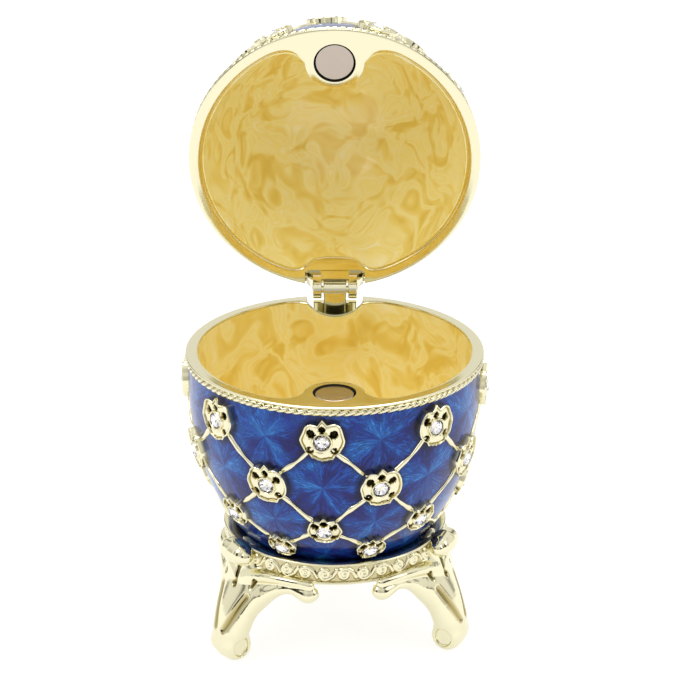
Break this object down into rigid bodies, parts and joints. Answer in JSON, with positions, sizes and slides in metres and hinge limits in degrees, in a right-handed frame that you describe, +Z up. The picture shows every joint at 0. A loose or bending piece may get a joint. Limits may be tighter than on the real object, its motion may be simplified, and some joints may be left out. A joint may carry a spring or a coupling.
{
  "type": "jewelled egg trinket box",
  "caption": "Small enamelled egg trinket box, standing open on scrolled feet, with a hinged lid, magnetic catch, gilt trellis and rosettes set with clear crystals.",
  "frame": {"origin": "centre of the open box's bounding rectangle, on the surface that its feet stand on", "axes": "+Z up; the hinge is at the back, towards +Y, and its axis is along X; the bowl opens upwards and the open lid faces -Y"},
  "size_m": [0.047, 0.067, 0.0915],
  "materials": {
    "blue_enamelled_metal": "translucent cobalt enamel over a pale gold-plated casting, glossy",
    "cream_pearl_enamel": "cream-gold pearl enamel with soft swirls, glossy, lining the bowl and the lid",
    "pale_gold_plate": "polished pale champagne-gold plating on cast zinc alloy",
    "satin_nickel": "satin nickel-plated magnet face",
    "clear_crystal": "clear faceted crystal on a silvered foil back"
  },
  "bodies": {
    "base": {"bowl": "blue_enamelled_metal", "crystal_bowl_a1": "clear_crystal", "crystal_bowl_a2": "clear_crystal", "crystal_bowl_a3": "clear_crystal", "crystal_bowl_a4": "clear_crystal", "crystal_bowl_a6": "clear_crystal", "crystal_bowl_a7": "clear_crystal", "crystal_bowl_a8": "clear_crystal", "crystal_bowl_b1": "clear_crystal", "crystal_bowl_b2": "clear_crystal", "crystal_bowl_b3": "clear_crystal", "crystal_bowl_b4": "clear_crystal", "crystal_bowl_b5": "clear_crystal", "crystal_bowl_b6": "clear_crystal", "crystal_bowl_b7": "clear_crystal", "crystal_bowl_b8": "clear_crystal", "crystal_bowl_c1": "clear_crystal", "crystal_bowl_c2": "clear_crystal", "crystal_bowl_c3": "clear_crystal", "crystal_bowl_c4": "clear_crystal", "crystal_bowl_c5": "clear_crystal", "crystal_bowl_c6": "clear_crystal", "crystal_bowl_c7": "clear_crystal", "crystal_bowl_c8": "clear_crystal", "crystal_bowl_d1": "clear_crystal", "crystal_bowl_d3": "clear_crystal", "crystal_bowl_d4": "clear_crystal", "crystal_bowl_d6": "clear_crystal", "crystal_bowl_d8": "clear_crystal", "hinge_pin": "pale_gold_plate", "magnet_bowl": "satin_nickel", "stand": "pale_gold_plate"},
    "lid": {"crystal_lid_a1": "clear_crystal", "crystal_lid_a2": "clear_crystal", "crystal_lid_a3": "clear_crystal", "crystal_lid_a4": "clear_crystal", "crystal_lid_a5": "clear_crystal", "crystal_lid_a6": "clear_crystal", "crystal_lid_a7": "clear_crystal", "crystal_lid_a8": "clear_crystal", "crystal_lid_b1": "clear_crystal", "crystal_lid_b2": "clear_crystal", "crystal_lid_b3": "clear_crystal", "crystal_lid_b4": "clear_crystal", "crystal_lid_b5": "clear_crystal", "crystal_lid_b6": "clear_crystal", "crystal_lid_b7": "clear_crystal", "crystal_lid_b8": "clear_crystal", "crystal_lid_crown": "clear_crystal", "lid": "blue_enamelled_metal", "magnet_lid": "satin_nickel"}
  },
  "joints": [
    {"name": "lid_hinge", "type": "hinge", "parent": "base", "child": "lid", "pos_m": [0, 0.01307, 0.0466], "axis": [1, 0, 0], "range_deg": [0, 79.7]}
  ]
}
